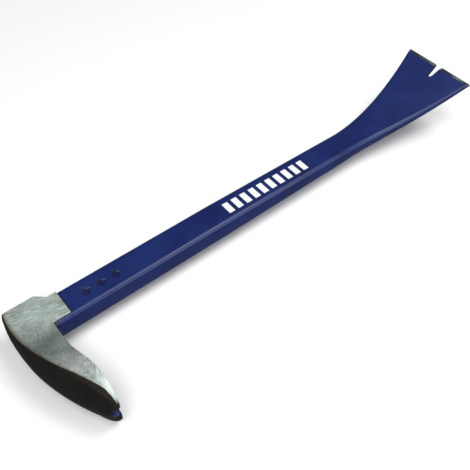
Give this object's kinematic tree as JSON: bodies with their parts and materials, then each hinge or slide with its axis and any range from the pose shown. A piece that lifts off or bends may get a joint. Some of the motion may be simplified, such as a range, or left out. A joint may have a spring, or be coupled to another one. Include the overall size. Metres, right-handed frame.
{
  "type": "forged pry bar",
  "caption": "Short one-piece forged pry bar with a slotted claw at a right angle, a small striking face behind it and a flared, slotted blade.",
  "frame": {"origin": "centre of the striking face, midway through the head's thickness", "axes": "+X along the shank from the head to the blade, +Y out of the striking face and away from the claw's tips, +Z out of the broad face towards which the blade curves"},
  "size_m": [0.2569, 0.069, 0.0322],
  "materials": {
    "ground_steel": "satin ground",
    "blue_enamel": "semi-gloss"
  },
  "bodies": {
    "root": {"claw_head": "ground_steel", "shank": "blue_enamel", "pry_blade": "blue_enamel"}
  },
  "joints": []
}
